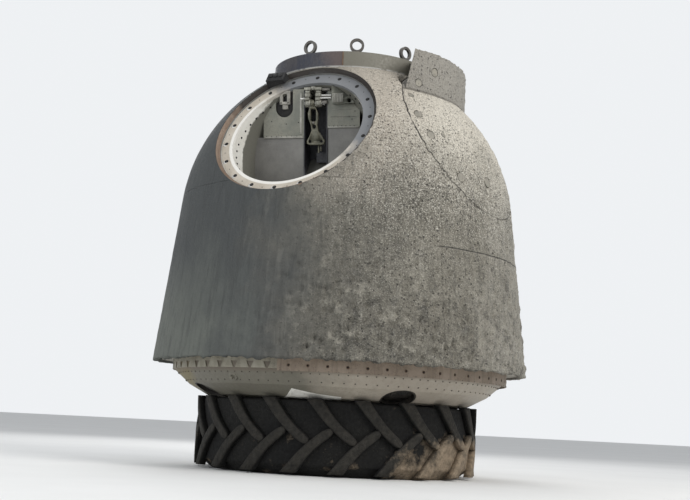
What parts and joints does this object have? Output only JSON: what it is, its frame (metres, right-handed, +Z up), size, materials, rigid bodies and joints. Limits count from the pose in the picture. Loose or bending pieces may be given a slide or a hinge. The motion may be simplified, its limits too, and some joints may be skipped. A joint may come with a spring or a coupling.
{
  "type": "landed three-seat space capsule on a tractor tyre",
  "caption": "Bell-shaped, scorched descent capsule with open main parachute container, closed reserve cover, top ring and inward-opening hatch, cradled on a lugged tyre.",
  "frame": {"origin": "on the ground under the capsule's axis, where the tyre stands", "axes": "+Z up along the capsule's axis; -Y towards the side with the open main parachute container; +X to the right seen from that side"},
  "size_m": [2.1542, 2.1541, 2.447],
  "materials": {
    "burnt_shield": "burnt and pitted ablative crust, matt",
    "ring_paint": "dark scorched paint, satin",
    "white_metal": "off-white scorched paint, matt",
    "bright_metal": "bare light alloy, satin",
    "rack_metal": "soiled light alloy, matt",
    "steel": "turned steel, satin",
    "hull_metal": "alloy sheet, matt",
    "dish_paint": "dusty pale paint, matt",
    "band_metal": "heat-tinted band, matt",
    "pane": "thick clear pane",
    "tyre_rubber": "dusty black rubber",
    "couch_shell": "moulded shell, matt"
  },
  "bodies": {
    "capsule": {"base_dish": "dish_paint", "base_flange": "dish_paint", "base_frame": "hull_metal", "cabin_floor": "hull_metal", "chute_drum": "white_metal", "chute_flange": "white_metal", "chute_latch": "steel", "chute_panel_left": "rack_metal", "chute_panel_right": "rack_metal", "chute_plate_left": "rack_metal", "chute_plate_right": "rack_metal", "couch_centre": "couch_shell", "couch_left": "couch_shell", "couch_right": "couch_shell", "cover_plugs": "burnt_shield", "cross_pin": "steel", "edge_box": "ring_paint", "engine_ports": "steel", "flange_band": "band_metal", "hatch_seat": "bright_metal", "hinge_ears": "steel", "hinge_pin": "steel", "lifting_eyes": "steel", "link_channel": "rack_metal", "link_clevis": "rack_metal", "pressure_hull": "hull_metal", "release_pins": "steel", "reserve_cover": "burnt_shield", "reserve_drum": "bright_metal", "riser_link": "steel", "scope_glass": "pane", "scope_housing": "burnt_shield", "shield_dome": "burnt_shield", "shield_front": "burnt_shield", "shield_right_lower": "burnt_shield", "shield_right_upper": "burnt_shield", "thruster_nozzles": "steel", "top_ring": "ring_paint", "tyre": "tyre_rubber", "umbilical_plate": "bright_metal", "window_frame_left": "burnt_shield", "window_frame_right": "burnt_shield", "window_pane_left": "pane", "window_pane_right": "pane"},
    "hatch": {"hatch_lid": "bright_metal", "hinge_arm": "steel", "hatch_handwheel": "steel", "latch_dogs": "steel"}
  },
  "joints": [
    {"name": "hatch_hinge", "type": "hinge", "parent": "capsule", "child": "hatch", "pos_m": [0.09136, 0.34097, 2.17975], "axis": [0.9659, -0.2588, 0], "range_deg": [0, 90]}
  ]
}
